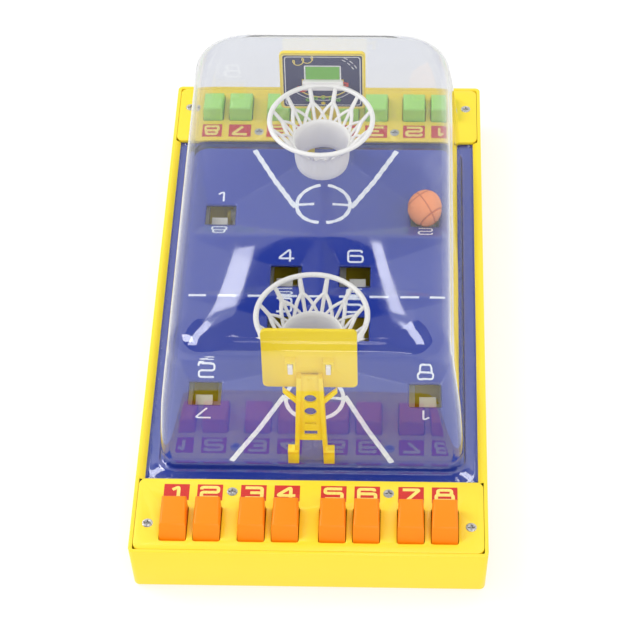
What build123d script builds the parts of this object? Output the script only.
from build123d import *
import math
import os

# Two-player tabletop basketball game. Each player presses eight numbered keys, and each key
# rocks a lever that kicks the ball out of one of the eight pits in the court.
# Millimetres. +Z up, +Y from the front player to the rear player, +X to the front player's
# right. The origin is on the table, under the middle of the game. Whatever stands on the rear
# half is the front half's piece turned half a turn about Z.

# ---------------------------------------------------------------- tray
WIDTH = 190.0            # across the tray's top edge
LENGTH = 366.0           # between the two players' edges
RIM_Z = 32.0             # top of the tray wall, flush with the key decks
FOOT_H = 1.2             # rubber feet stand proud of the tray's underside
FOOT_R = 6.0
FOOT_INSET = 15.0        # feet, in from the tray's edges
TRAY_DRAFT = 1.1         # the bottom is this much narrower on each side
TRAY_WALL = 2.0
TRAY_FLOOR = 2.0
TRAY_CORNER = 3.0
TRAY_BOTTOM_EDGE = 1.2
LEDGE_THICK = 2.0        # upright ribs that carry the court and the decks
LEDGE_DEEP = 3.0
SIDE_LEDGES = 7          # along each long wall
SIDE_LEDGES_FROM_DECK = 6.0
END_LEDGE_X = (-63.0, -21.5, 21.5, 63.0)
GAP = 0.2                # between a fixed panel's edge and what surrounds it

# ---------------------------------------------------------------- key decks
DECK_THICK = 2.0
DECK_LENGTH = 47.3       # along Y
DECK_CORNER = 4.0
SCREW_HEAD_R = 2.9
SCREW_SHANK_R = 1.4
SCREW_LENGTH = 12.0
SCREW_CLEARANCE = 0.08
CROSS = (3.6, 0.8, 0.9)  # the screwdriver's cross: length, width and depth
BOSS_R = 3.5
OUTER_SCREW = (86.0, 17.1)    # x, and distance in from the deck's player-side edge
INNER_SCREW = (42.0, 39.0)
LABEL_WIDTH = 13.7
LABEL_LENGTH = 10.7
LABEL_THICK = 0.2
LABEL_BACK = 3.8         # from the deck's court-side edge

# ---------------------------------------------------------------- keys and levers
KEY_X = (12.5, 30.5, 54.0, 72.0)     # key lines, mirrored about x = 0
KEY_WIDTH = 14.0
KEY_TOP_Z = 39.3
KEY_SKIRT_Z = 26.0
KEY_WALL = 1.5
KEY_BACK = 18.9          # cap's court-side face, from the deck's court-side edge
KEY_REACH = 22.2         # cap's length along Y where it passes through the deck
KEY_SIDE_GAP = 0.4       # each side of the cap in its slot
KEY_END_GAP = 0.8
KEY_TOP_EDGE = 1.6
PIN_R = 1.25
PIN_CLEARANCE = 0.05
PIN_SEAT = 0.02
PIVOT_Z = 12.0
PIVOT_SHARE = 0.327      # pivot's place between the key and the kicker head
HUB_R = 3.4
HUB_WIDTH = 6.0
EAR_GAP = 0.25
EAR_THICK = 2.0
ARM_WIDTH = 3.5
ARM_HEIGHT = 5.0
ARM_Z = 9.5              # underside of a resting lever
BLADE_THICK = 3.0
BLADE_LENGTH = 11.0
BLADE_TAPER = 1.5        # each end of the blade, from foot to tip
BLADE_GAP = 0.5          # least room between the blade's tip and the cap's curved wall
BLADE_TOP_GAP = 0.2
REST_GAP = 0.1
HEAD_WIDTH = 9.5
HEAD_LENGTH = 6.4
HEAD_OFF_CENTRE = 0.9    # heads of the two players stop this far from the pit's middle
HEAD_LOW_Z = 17.6        # kicker's sloping top, at the pit's middle
HEAD_HIGH_Z = 20.2       # and away from it
HEAD_CLEARANCE = 1.0     # between a pivot's hub and the ends of the outer pits' heads
HEAD_X = {"outer": 63.0, "inner": 21.5}
SPRING_R = 2.6
SPRING_WIRE_R = 0.25
SPRING_TURNS = 3.5
SPRING_OUT = 1.0         # behind the middle of the key
PEG_R = 1.9
PEG_H = 1.8

# ---------------------------------------------------------------- court
PIT = {"outer": (61.5, 70.3), "inner": (20.2, 20.2)}
PIT_HOLE = (18.0, 17.0)
COURT_RIM_Z = 28.5       # top of the flat rim that the dome stands on
COURT_SHEET = 2.0
COURT_TOP_Z = 34.5       # ridges between the pits
PIT_Z = 30.0             # edge of each pit's hole
CELL_SPLIT_Y = 48.9      # ridge between the outer and the inner pits
RIDGE = 1.5
COURT_SIDE_DRAFT = 0.4
SOCKET = (3.0, 3.0)      # holes that take a post's pegs
SOCKET_SHIFT = 1.0       # towards the court, from the middle of the post's foot
PAD = (14.5, 10.0)       # half width and length of the flat pad under each post

# ---------------------------------------------------------------- dome
DOME_WALL = 1.6
DOME_TOP_Z = 130.0
DOME_HALF = ((28.5, 82.5, 126.1), (70.0, 80.1, 125.2), (130.0, 73.4, 123.8))  # z, x, y
DOME_CORNER = (9.0, 11.0, 15.0)
DOME_TOP_EDGE = 14.0
FLANGE_THICK = 1.5
FLANGE_UNDER_DECK = 4.0
DOME_MARGIN = 0.5        # between the court's plateau and the dome's inside
DOME_FROM_FLANGE_EDGE = 10.0     # flange showing beside the dome's foot
DOME_FROM_DECK = 3.3     # dome's end, from the line as far in as the flange goes under

# ---------------------------------------------------------------- posts, boards and hoops
BALL_R = 11.0
RING_R = 29.7
RING_TUBE_R = 1.5
RING_Z = 101.8
BOARD_WIDTH = 50.2
BOARD_Z = (82.2, 125.6)
BOARD_THICK = 2.0
BOARD_CORNER = 3.0
BOARD_FROM_WALL = 16.1   # board's back, from the court plateau's end
BRACKET = (24.0, 1.5, 7.0)
BRACKET_Z = 98.0
TAB_X = 10.0
TAB = (2.6, 4.2, 3.6)
TAB_CLEARANCE = 0.2
SLEEVE_WALL = 1.4
SLEEVE_DEEP = 3.0
RIBS = 12
NET_TOP_R, NET_WAIST_R, NET_FOOT_R = 28.9, 16.0, 15.0
NET_WAIST_Z, NET_FOOT_Z = 85.0, 67.0
NET_THICK = 1.4
RAIL_THICK = 2.4
RAIL_DEEP = 5.5
RAIL_X = (9.2, 6.9)      # outer faces at the foot and at the top
RAIL_LENGTH = 60.0
RAIL_LEAN = 8.6          # degrees towards the court
WEB_THICK = 1.6
WEB_START = 15.0         # distances up the leaning post, from its foot
WEB_OVALS = ((44.0, 3.3, 2.9), (35.0, 3.3, 3.0))     # height, half width, half length
WEB_SLOTS = ((27.0, 6.0, 1.3), (20.0, 7.0, 3.5))     # height, width, length
BRACE = ((6.0, 39.0), (14.5, 48.5), (14.5, 51.5), (6.0, 43.0))
BRACE_THICK = 1.8
FOOT_BLOCK = (5.7, 5.5, 9.5)
BOARD_PEG_Z = (86.5, 91.5)
BOARD_PEG_R = 1.2
BOARD_PEG_ROOT = 3.4     # from the board's back to inside the post's web
STICKER_MARGIN = 0.9
STICKER_THICK = 0.2

# ---------------------------------------------------------------- worked out
TRAY_Z = FOOT_H
FLOOR_Z = TRAY_Z + TRAY_FLOOR
DECK_Z = RIM_Z - DECK_THICK
FLANGE_Z = DECK_Z - FLANGE_THICK


def tray_half(z):
    """Outer half width and half length of the drafted tray at height z."""
    inset = TRAY_DRAFT * (RIM_Z - z) / (RIM_Z - TRAY_Z)
    return WIDTH / 2 - inset, LENGTH / 2 - inset


PANEL_HALF_X = tray_half(COURT_RIM_Z - COURT_SHEET)[0] - TRAY_WALL - GAP
DECK_OUT_Y = tray_half(DECK_Z)[1] - TRAY_WALL - GAP
DECK_IN_Y = DECK_OUT_Y - DECK_LENGTH
PANEL_HALF_Y = DECK_IN_Y + FLANGE_UNDER_DECK
LENGTH_CHANGE = DECK_IN_Y - FLANGE_UNDER_DECK - DOME_HALF[0][2] - DOME_FROM_DECK
WIDTH_CHANGE = PANEL_HALF_X - DOME_HALF[0][1] - DOME_FROM_FLANGE_EDGE
KEY_IN_Y = DECK_IN_Y + KEY_BACK
KEY_MID_Y = KEY_IN_Y + KEY_REACH / 2
PLATEAU_X = DOME_HALF[0][1] + WIDTH_CHANGE - DOME_WALL - DOME_MARGIN
PLATEAU_Y = DOME_HALF[0][2] + LENGTH_CHANGE - DOME_WALL - DOME_MARGIN
BOARD_BACK_Y = PLATEAU_Y - BOARD_FROM_WALL + BOARD_THICK
BOARD_FACE_Y = BOARD_BACK_Y - BOARD_THICK
RING_Y = BOARD_FACE_Y - RING_R - RING_TUBE_R
EAR_IN = HUB_WIDTH / 2 + EAR_GAP
EAR_OUT = EAR_IN + EAR_THICK
SCREWS = [
    (sx * x, sy * (DECK_OUT_Y - inset))
    for x, inset in (OUTER_SCREW, INNER_SCREW) for sx in (-1, 1) for sy in (-1, 1)
]
PIT_CENTRES = [
    (sx * x, sy * y) for x, y in PIT.values() for sx in (-1, 1) for sy in (-1, 1)
]
SPRING_Y = -(KEY_MID_Y + SPRING_OUT)

# The front player's keys, left to right: line, pit column, and whether the pit is on the
# player's own half of the court.
KEYS = (
    (-KEY_X[3], "outer", False), (-KEY_X[2], "outer", True),
    (-KEY_X[1], "inner", True), (-KEY_X[0], "inner", False),
    (KEY_X[0], "inner", True), (KEY_X[1], "inner", False),
    (KEY_X[2], "outer", False), (KEY_X[3], "outer", True),
)
HALF_TURN = Rot(0, 0, 180)


def head_span(column, own_half):
    """Where a front player's kicker head starts and ends along Y, nearest the player first."""
    pit_y = PIT[column][1] * (-1 if own_half else 1)
    near = pit_y - HEAD_OFF_CENTRE - HEAD_LENGTH
    return near, near + HEAD_LENGTH


def pivot_y(column, own_half):
    """Y of a front player's lever pivot: a fixed share of the way from key to head, on the
    players' side of the outer pits' heads, which reach beside the next lever's ears."""
    head = sum(head_span(column, own_half)) / 2
    shared = -KEY_MID_Y + PIVOT_SHARE * (head + KEY_MID_Y)
    heads_end = PIT["outer"][1] + HEAD_OFF_CENTRE + HEAD_LENGTH
    return min(shared, -(heads_end + HUB_R + HEAD_CLEARANCE))


def block(x0, x1, y0, y1, z0, z1):
    """A box between two opposite corners."""
    middle = ((x0 + x1) / 2, (y0 + y1) / 2, (z0 + z1) / 2)
    return Pos(*middle) * Box(abs(x1 - x0), abs(y1 - y0), abs(z1 - z0))


def rounded_loft(sections):
    """Straight-sided solid through rounded rectangles: (z, half x, half y, corner radius)."""
    faces = [Pos(0, 0, z) * RectangleRounded(2 * x, 2 * y, r) for z, x, y, r in sections]
    return loft(faces, ruled=True)


def side_prism(points, x0, x1):
    """A profile drawn in Y and Z, drawn out between two x positions."""
    wire = Polyline(*[(0, y, z) for y, z in points], close=True)
    return Pos(x0, 0, 0) * extrude(make_face(wire), amount=x1 - x0, dir=(1, 0, 0))


def drum(radius, x0, x1, y, z):
    """A cylinder lying along X."""
    return Pos((x0 + x1) / 2, y, z) * Rot(0, 90, 0) * Cylinder(radius, abs(x1 - x0))


def upright(radius, z0, z1):
    """A cylinder standing on the origin's axis."""
    return Pos(0, 0, (z0 + z1) / 2) * Cylinder(radius, z1 - z0)


def both_players(solids):
    """The front player's solids and the same turned round for the rear player."""
    return solids + [HALF_TURN * s for s in solids]


# ---------------------------------------------------------------- tray
def pivot_ears():
    """Two drilled ears for each front lever."""
    ears = []
    for x, column, own in KEYS:
        y = pivot_y(column, own)
        for side in (-1, 1):
            inner, outer = x + side * EAR_IN, x + side * EAR_OUT
            plate = block(inner, outer, y - HUB_R, y + HUB_R, FLOOR_Z, PIVOT_Z)
            cap = drum(HUB_R, inner, outer, y, PIVOT_Z)
            ears.append(plate + cap - drum(PIN_R + PIN_SEAT, inner, outer, y, PIVOT_Z))
    return ears


def lever_rests():
    """A block that each front lever's head lies on, and a peg for each return spring."""
    rests = []
    for x, column, own in KEYS:
        near, far = head_span(column, own)
        middle = math.copysign(HEAD_X[column], x)
        half = HEAD_WIDTH / 2 - 1.0
        rests.append(block(middle - half, middle + half, near + 1, far - 1,
                           FLOOR_Z, ARM_Z - REST_GAP))
        rests.append(Pos(x, SPRING_Y, 0) * upright(PEG_R, FLOOR_Z, FLOOR_Z + PEG_H))
    return rests


def wall_ledges():
    """Ribs on the walls: short ones under the court's rim, tall ones under the decks."""
    ledges = []
    court_underside = COURT_RIM_Z - COURT_SHEET
    for i in range(SIDE_LEDGES):
        y = (2 * i / (SIDE_LEDGES - 1) - 1) * (DECK_IN_Y - SIDE_LEDGES_FROM_DECK)
        for side in (-1, 1):
            wall = side * (tray_half(FLOOR_Z)[0] - TRAY_WALL / 2)
            ledges.append(block(wall - side * (LEDGE_DEEP + TRAY_WALL / 2), wall,
                                y - LEDGE_THICK / 2, y + LEDGE_THICK / 2,
                                FLOOR_Z, court_underside))
    for x in END_LEDGE_X:
        for side in (-1, 1):
            wall = side * (tray_half(FLOOR_Z)[1] - TRAY_WALL / 2)
            ledges.append(block(x - LEDGE_THICK / 2, x + LEDGE_THICK / 2,
                                wall - side * (LEDGE_DEEP - 1 + TRAY_WALL / 2), wall,
                                FLOOR_Z, DECK_Z))
    return ledges


def base_tray():
    outside = rounded_loft([(TRAY_Z, *tray_half(TRAY_Z), TRAY_CORNER),
                            (RIM_Z, *tray_half(RIM_Z), TRAY_CORNER)])
    bottom = outside.edges().group_by(Axis.Z)[0]
    outside = fillet(bottom, TRAY_BOTTOM_EDGE)
    inner_corner = TRAY_CORNER - TRAY_WALL
    hollow = rounded_loft([(z, tray_half(z)[0] - TRAY_WALL, tray_half(z)[1] - TRAY_WALL,
                            inner_corner) for z in (FLOOR_Z, RIM_Z + 1)])
    tray = outside - hollow
    tray += both_players(pivot_ears()) + both_players(lever_rests()) + wall_ledges()
    tray += [Pos(x, y, 0) * upright(BOSS_R, FLOOR_Z - 1, DECK_Z) for x, y in SCREWS]
    tray -= [Pos(x, y, 0) * upright(SCREW_SHANK_R + SCREW_CLEARANCE,
                                    RIM_Z - SCREW_LENGTH - 1, RIM_Z) for x, y in SCREWS]
    return tray


def rubber_feet():
    x, y = WIDTH / 2 - FOOT_INSET, LENGTH / 2 - FOOT_INSET
    pad = upright(FOOT_R, 0, FOOT_H)
    pad = fillet(pad.edges().group_by(Axis.Z)[0], 0.4)
    return [Pos(sx * x, sy * y, 0) * pad for sx in (-1, 1) for sy in (-1, 1)]


# ---------------------------------------------------------------- key decks
def front_deck():
    middle = -(DECK_OUT_Y + DECK_IN_Y) / 2
    width = 2 * (tray_half(DECK_Z)[0] - TRAY_WALL - GAP)
    plate = extrude(RectangleRounded(width, DECK_LENGTH, DECK_CORNER), DECK_THICK)
    plate = Pos(0, middle, DECK_Z) * plate
    slot_length = KEY_REACH + 2 * KEY_END_GAP
    slot = RectangleRounded(KEY_WIDTH + 2 * KEY_SIDE_GAP, slot_length, 1.5)
    cutter = extrude(slot, DECK_THICK + 2)
    plate -= [Pos(x, -KEY_MID_Y, DECK_Z - 1) * cutter for x, _, _ in KEYS]
    shank = upright(SCREW_SHANK_R + SCREW_CLEARANCE, DECK_Z - 1, RIM_Z)
    sink = screw_cone(SCREW_CLEARANCE)
    plate -= [Pos(x, y, 0) * (shank + sink) for x, y in SCREWS if y < 0]
    return plate


def screw_cone(extra=0.0):
    """The countersunk head, or the seat it lies in when given some extra."""
    height = SCREW_HEAD_R - SCREW_SHANK_R
    cone = Cone(SCREW_SHANK_R + extra, SCREW_HEAD_R + extra, height)
    return Pos(0, 0, RIM_Z - height / 2) * cone


def deck_screws():
    screw = screw_cone() + upright(SCREW_SHANK_R, RIM_Z - SCREW_LENGTH, RIM_Z - 0.5)
    for angle in (0, 90):
        screw -= Rot(0, 0, angle) * block(-CROSS[0] / 2, CROSS[0] / 2, -CROSS[1] / 2,
                                          CROSS[1] / 2, RIM_Z - CROSS[2], RIM_Z + 1)
    return [Pos(x, y, 0) * screw for x, y in SCREWS]


def number_labels():
    middle = -(DECK_IN_Y + LABEL_BACK + LABEL_LENGTH / 2)
    label = block(-LABEL_WIDTH / 2, LABEL_WIDTH / 2, middle - LABEL_LENGTH / 2,
                  middle + LABEL_LENGTH / 2, RIM_Z, RIM_Z + LABEL_THICK)
    return both_players([Pos(x, 0, 0) * label for x, _, _ in KEYS])


# ---------------------------------------------------------------- keys, levers and pins
def near_pivot():
    """The pivot nearest the keys, whose arc the cap's player-side face follows."""
    return max(-pivot_y(column, own) for _, column, own in KEYS)


def cap_face_y(z, inset):
    """Y of a front cap's player-side face at height z: an arc about the nearest pivot, so that
    the cap slides through the deck's slot as the lever rocks."""
    pivot = -near_pivot()
    out = -(KEY_IN_Y + KEY_REACH)
    reach = math.hypot(out - pivot, DECK_Z - PIVOT_Z) - inset
    return pivot - math.sqrt(reach ** 2 - (z - PIVOT_Z) ** 2)


def key_outline(inset):
    """A cap's profile in Y and Z, for a key at the front."""
    def arc(z):
        return (0, cap_face_y(z, inset), z)

    back, top = -(KEY_IN_Y + inset), KEY_TOP_Z - inset
    low = KEY_SKIRT_Z - inset
    side = Polyline(arc(low), (0, back, low), (0, back, top), arc(top))
    face = ThreePointArc(arc(top), arc((top + low) / 2), arc(low))
    return make_face([*side.edges(), face])


def front_key(x):
    half = KEY_WIDTH / 2
    cap = Pos(-half, 0, 0) * extrude(key_outline(0), amount=KEY_WIDTH, dir=(1, 0, 0))
    cap = fillet(cap.edges().group_by(Axis.Z)[-1], KEY_TOP_EDGE)
    width = KEY_WIDTH - 2 * KEY_WALL
    cap -= Pos(-width / 2, 0, 0) * extrude(key_outline(KEY_WALL), amount=width, dir=(1, 0, 0))
    grip = BLADE_THICK / 2 + 0.1
    for side in (-1, 1):
        cap += block(side * grip, side * (grip + 1.2), -KEY_MID_Y - 5, -KEY_MID_Y + 5,
                     KEY_SKIRT_Z + 2, KEY_TOP_Z - KEY_WALL / 2)
    return Pos(x, 0, 0) * cap


def front_lever(x, column, own_half):
    near, far = head_span(column, own_half)
    pivot = pivot_y(column, own_half)
    head_x = math.copysign(HEAD_X[column], x)
    arm_top = ARM_Z + ARM_HEIGHT
    half = ARM_WIDTH / 2
    lever = block(x - half, x + half, -KEY_MID_Y - BLADE_LENGTH / 2 - 2, far, ARM_Z, arm_top)
    lever += drum(HUB_R, x - HUB_WIDTH / 2, x + HUB_WIDTH / 2, pivot, PIVOT_Z)
    inner, outer = head_x - HEAD_WIDTH / 2, head_x + HEAD_WIDTH / 2
    lever += block(min(inner, x - half), max(outer, x + half), near, far, ARM_Z, arm_top)
    lever += side_prism([(near, ARM_Z), (far, ARM_Z), (far, HEAD_LOW_Z), (near, HEAD_HIGH_Z)],
                        inner, outer)
    foot, tip = BLADE_LENGTH / 2, BLADE_LENGTH / 2 - BLADE_TAPER
    tip_z = KEY_TOP_Z - KEY_WALL - BLADE_TOP_GAP
    tip_out = max(-KEY_MID_Y - tip, cap_face_y(tip_z, KEY_WALL) + BLADE_GAP)
    lever += side_prism([(-KEY_MID_Y - foot, ARM_Z), (-KEY_MID_Y + foot, ARM_Z),
                         (-KEY_MID_Y + tip, tip_z), (tip_out, tip_z)],
                        x - BLADE_THICK / 2, x + BLADE_THICK / 2)
    bore = drum(PIN_R + PIN_CLEARANCE, x - HUB_WIDTH, x + HUB_WIDTH, pivot, PIVOT_Z)
    return lever - bore


def pivot_pins():
    pins = [drum(PIN_R, x - EAR_OUT, x + EAR_OUT, pivot_y(column, own), PIVOT_Z)
            for x, column, own in KEYS]
    return both_players(pins)


def front_return_springs():
    low = FLOOR_Z + SPRING_WIRE_R + 0.05
    height = ARM_Z - SPRING_WIRE_R - 0.1 - low
    path = Helix(height / SPRING_TURNS, height, SPRING_R, center=(0, 0, low))
    section = Plane(path @ 0, z_dir=path % 0) * Circle(SPRING_WIRE_R)
    coil = sweep(section, path=path)
    return [Pos(x, SPRING_Y, 0) * coil for x, _, _ in KEYS]


# ---------------------------------------------------------------- court
def pit_cells(drop):
    """The eight shallow funnels, lowered by drop: a cell's edge sloping down to its hole."""
    cells = []
    half_x, half_y = PIT_HOLE[0] / 2, PIT_HOLE[1] / 2
    low, high = RIDGE / 2, PLATEAU_X - 1.5
    spans = {"outer": (CELL_SPLIT_Y + low, PLATEAU_Y - 1.5), "inner": (low, CELL_SPLIT_Y - low)}
    for column, (x, y) in PIT.items():
        y0, y1 = spans[column]
        hole = Pos(x, y, PIT_Z - drop) * Rectangle(2 * half_x, 2 * half_y)
        rim = Pos((low + high) / 2, (y0 + y1) / 2, COURT_TOP_Z - drop) * Rectangle(
            high - low, y1 - y0)
        cell = loft([hole, rim], ruled=True)
        if drop == 0:
            cell += block(low, high, y0, y1, COURT_TOP_Z, COURT_TOP_Z + 1)
        cells += [cell, cell.mirror(Plane.YZ), cell.mirror(Plane.XZ), HALF_TURN * cell]
    return cells


def court_panel():
    rim_low = COURT_RIM_Z - COURT_SHEET
    rim = block(-PANEL_HALF_X, PANEL_HALF_X, -PANEL_HALF_Y, PANEL_HALF_Y, rim_low, COURT_RIM_Z)
    x, y, corner = PLATEAU_X, PLATEAU_Y, DOME_CORNER[0] - DOME_WALL
    d = COURT_SIDE_DRAFT
    plateau = rounded_loft([(rim_low, x, y, corner), (COURT_TOP_Z, x - d, y - d, corner)])
    t = COURT_SHEET
    cavity = rounded_loft([(rim_low - 1, x - t, y - t, corner - t),
                           (COURT_TOP_Z - t, x - t - d, y - t - d, corner - t)])
    court = rim + plateau - (cavity - pit_cells(COURT_SHEET)) - pit_cells(0)
    half_x, half_y = PIT_HOLE[0] / 2, PIT_HOLE[1] / 2
    court -= [block(px - half_x, px + half_x, py - half_y, py + half_y, rim_low, COURT_TOP_Z)
              for px, py in PIT_CENTRES]
    pad = block(-PAD[0], PAD[0], -y + d, -y + d + PAD[1], COURT_TOP_Z - t, COURT_TOP_Z)
    court += both_players([pad])
    court -= both_players(post_pegs(0, COURT_TOP_Z + 1))
    return court


# ---------------------------------------------------------------- dome
def dome_body(inset):
    """The dome's solid envelope, inset all round and below its top."""
    sections = []
    for (z, x, y), corner in zip(DOME_HALF, DOME_CORNER):
        top = DOME_TOP_Z - inset if z == DOME_TOP_Z else z
        sections.append((top, x + WIDTH_CHANGE - inset, y + LENGTH_CHANGE - inset,
                         corner - inset))
    body = rounded_loft(sections)
    return fillet(body.edges().group_by(Axis.Z)[-1], DOME_TOP_EDGE - inset)


def clear_dome():
    flange = block(-PANEL_HALF_X, PANEL_HALF_X, -PANEL_HALF_Y, PANEL_HALF_Y, FLANGE_Z, DECK_Z)
    return flange + dome_body(0) - dome_body(DOME_WALL)


# ---------------------------------------------------------------- posts
def peg_x():
    """X of a post's peg, under the middle of its foot block."""
    return RAIL_X[0] - RAIL_THICK + FOOT_BLOCK[0] / 2


def foot_y():
    """Y of the middle of the front post's foot."""
    return -(PLATEAU_Y - 0.5 - FOOT_BLOCK[1] / 2)


def post_pegs(gap, top):
    """The front post's two pegs up to a height, or their sockets when the gap is none."""
    half_x, half_y = SOCKET[0] / 2 - gap, SOCKET[1] / 2 - gap
    y = foot_y() + SOCKET_SHIFT
    low = COURT_TOP_Z - COURT_SHEET - 1.5
    return [block(x - half_x, x + half_x, y - half_y, y + half_y, low, top)
            for x in (-peg_x(), peg_x())]


def front_post():
    lean = math.radians(RAIL_LEAN)
    plane = Plane(origin=(0, foot_y(), COURT_TOP_Z), x_dir=(1, 0, 0),
                  z_dir=(0, -math.cos(lean), math.sin(lean)))
    foot, top = RAIL_X
    rail = Polygon((foot - RAIL_THICK, -2), (foot, -2), (top, RAIL_LENGTH),
                   (top - RAIL_THICK, RAIL_LENGTH), align=None)
    post = extrude(plane * rail, RAIL_DEEP / 2, both=True)
    post += post.mirror(Plane.YZ)
    wide = foot - (foot - top) * WEB_START / RAIL_LENGTH - RAIL_THICK / 2
    narrow = top - RAIL_THICK / 2
    web = Polygon((-wide, WEB_START), (wide, WEB_START), (narrow, RAIL_LENGTH),
                  (-narrow, RAIL_LENGTH), align=None)
    web -= [Pos(0, height) * Ellipse(half_x, half_y) for height, half_x, half_y in WEB_OVALS]
    web -= [Pos(0, height) * Rectangle(x, y) for height, x, y in WEB_SLOTS]
    post += extrude(plane * web, WEB_THICK / 2, both=True)
    for side in (-1, 1):
        brace = Polygon(*[(side * x, height) for x, height in BRACE], align=None)
        post += extrude(plane * brace, BRACE_THICK / 2, both=True)
        inner = side * (foot - RAIL_THICK)
        post += block(inner, inner + side * FOOT_BLOCK[0], foot_y() - FOOT_BLOCK[1] / 2,
                      foot_y() + FOOT_BLOCK[1] / 2, COURT_TOP_Z, COURT_TOP_Z + FOOT_BLOCK[2])
    clear, behind = BOARD_WIDTH, foot_y() - FOOT_BLOCK[1] / 2
    post -= block(-clear, clear, behind - RAIL_DEEP, behind, 0, DOME_TOP_Z)
    post -= block(-clear, clear, behind, 0, 0, COURT_TOP_Z)
    post -= block(-clear, clear, -BOARD_BACK_Y, 0, 0, DOME_TOP_Z)
    post += post_pegs(GAP, COURT_TOP_Z + 1)
    for z in BOARD_PEG_Z:
        peg = Cylinder(BOARD_PEG_R, BOARD_THICK + BOARD_PEG_ROOT)
        middle = -BOARD_BACK_Y + (BOARD_THICK - BOARD_PEG_ROOT) / 2
        post += Pos(0, middle, z) * Rot(90, 0, 0) * peg
    return post


# ---------------------------------------------------------------- backboards and hoops
def front_backboard():
    middle_z = sum(BOARD_Z) / 2
    back = -BOARD_BACK_Y
    upright_plane = Plane(origin=(0, back, middle_z), x_dir=(1, 0, 0), z_dir=(0, 1, 0))
    face = RectangleRounded(BOARD_WIDTH, BOARD_Z[1] - BOARD_Z[0], BOARD_CORNER)
    board = extrude(upright_plane * face, BOARD_THICK)
    tab_z = BRACKET_Z + BRACKET[2] / 2
    for side in (-1, 1):
        x = side * TAB_X
        half_x, half_z = TAB[0] / 2 + TAB_CLEARANCE, TAB[2] / 2 + TAB_CLEARANCE
        board += block(x - half_x - SLEEVE_WALL, x + half_x + SLEEVE_WALL, back - SLEEVE_DEEP,
                       back, tab_z - half_z - SLEEVE_WALL, tab_z + half_z + SLEEVE_WALL)
        board -= block(x - half_x, x + half_x, back - SLEEVE_DEEP - 1, back + BOARD_THICK + 1,
                       tab_z - half_z, tab_z + half_z)
    for z in BOARD_PEG_Z:
        board -= Pos(0, back, z) * Rot(90, 0, 0) * Cylinder(BOARD_PEG_R + 0.1, 9.0)
    return board


def front_backboard_sticker():
    face_y = -BOARD_FACE_Y
    m = STICKER_MARGIN
    plane = Plane(origin=(0, face_y, sum(BOARD_Z) / 2), x_dir=(-1, 0, 0), z_dir=(0, 1, 0))
    face = RectangleRounded(BOARD_WIDTH - 2 * m, BOARD_Z[1] - BOARD_Z[0] - 2 * m,
                            BOARD_CORNER - m)
    sticker = extrude(plane * face, STICKER_THICK)
    half = BRACKET[0] / 2 + 0.3
    sticker -= block(-half, half, face_y - 1, face_y + 1, BRACKET_Z - 0.3,
                     BRACKET_Z + BRACKET[2] + 0.3)
    for z in BOARD_PEG_Z:
        sticker -= Pos(0, face_y, z) * Rot(90, 0, 0) * Cylinder(BOARD_PEG_R + 0.1, 9.0)
    return sticker


def front_hoop():
    ring = Pos(0, 0, RING_Z) * Torus(RING_R, RING_TUBE_R)
    wall = Polyline((NET_WAIST_R - NET_THICK, 0, NET_WAIST_Z), (NET_WAIST_R, 0, NET_WAIST_Z),
                    (NET_WAIST_R, 0, NET_WAIST_Z - 12), (NET_FOOT_R, 0, NET_FOOT_Z),
                    (NET_FOOT_R - NET_THICK, 0, NET_FOOT_Z),
                    (NET_WAIST_R - NET_THICK, 0, NET_WAIST_Z - 12), close=True)
    sleeve = revolve(make_face(wall), Axis.Z)
    strand = Polyline((NET_TOP_R, 0, RING_Z), (NET_TOP_R + 1.2, 0, RING_Z),
                      (NET_WAIST_R, 0, NET_WAIST_Z - 1),
                      (NET_WAIST_R - NET_THICK, 0, NET_WAIST_Z - 1), close=True)
    rib = extrude(make_face(strand), 1.0, both=True)
    hoop = ring + sleeve + [Rot(0, 0, (i + 0.5) * 360 / RIBS) * rib for i in range(RIBS)]
    hoop = Pos(0, -RING_Y, 0) * hoop
    half, deep, tall = BRACKET[0] / 2, BRACKET[1], BRACKET[2]
    face_y = -BOARD_FACE_Y
    hoop += block(-half, half, face_y, face_y + deep + 0.8, BRACKET_Z, BRACKET_Z + tall)
    tab_z = BRACKET_Z + tall / 2
    for side in (-1, 1):
        x = side * TAB_X
        hoop += block(x - TAB[0] / 2, x + TAB[0] / 2, face_y - BOARD_THICK - TAB[1], face_y + 1,
                      tab_z - TAB[2] / 2, tab_z + TAB[2] / 2)
    return hoop


def ball():
    x, y = PIT["outer"]
    half_x, half_y = PIT_HOLE[0] / 2, PIT_HOLE[1] / 2
    seat = math.sqrt(BALL_R ** 2 - min(half_x, half_y) ** 2)
    return Pos(x, y, PIT_Z + seat + 0.06) * Sphere(BALL_R)


def model():
    """Every node by name, as one solid or a list of separate solids."""
    nodes = {
        "base_tray": base_tray(), "rubber_feet": rubber_feet(),
        "court_panel": court_panel(), "clear_dome": clear_dome(),
        "deck_screws": deck_screws(), "number_labels": number_labels(),
        "pivot_pins": pivot_pins(), "ball": ball(),
    }
    halves = {
        "deck": front_deck(), "post": front_post(), "backboard": front_backboard(),
        "backboard_sticker": front_backboard_sticker(), "hoop": front_hoop(),
    }
    halves["return_springs"] = front_return_springs()
    for number, (x, column, own) in enumerate(KEYS, 1):
        halves[f"key_{number}"] = front_key(x)
        halves[f"lever_{number}"] = front_lever(x, column, own)
    for name, made in halves.items():
        nodes[f"front_{name}"] = made
        nodes[f"rear_{name}"] = (
            [HALF_TURN * s for s in made] if isinstance(made, list) else HALF_TURN * made)
    return nodes


def main():
    os.makedirs("parts", exist_ok=True)
    for name, made in model().items():
        shape = Compound(children=list(made)) if isinstance(made, list) else made
        export_step(shape, f"parts/{name}.step")


main()
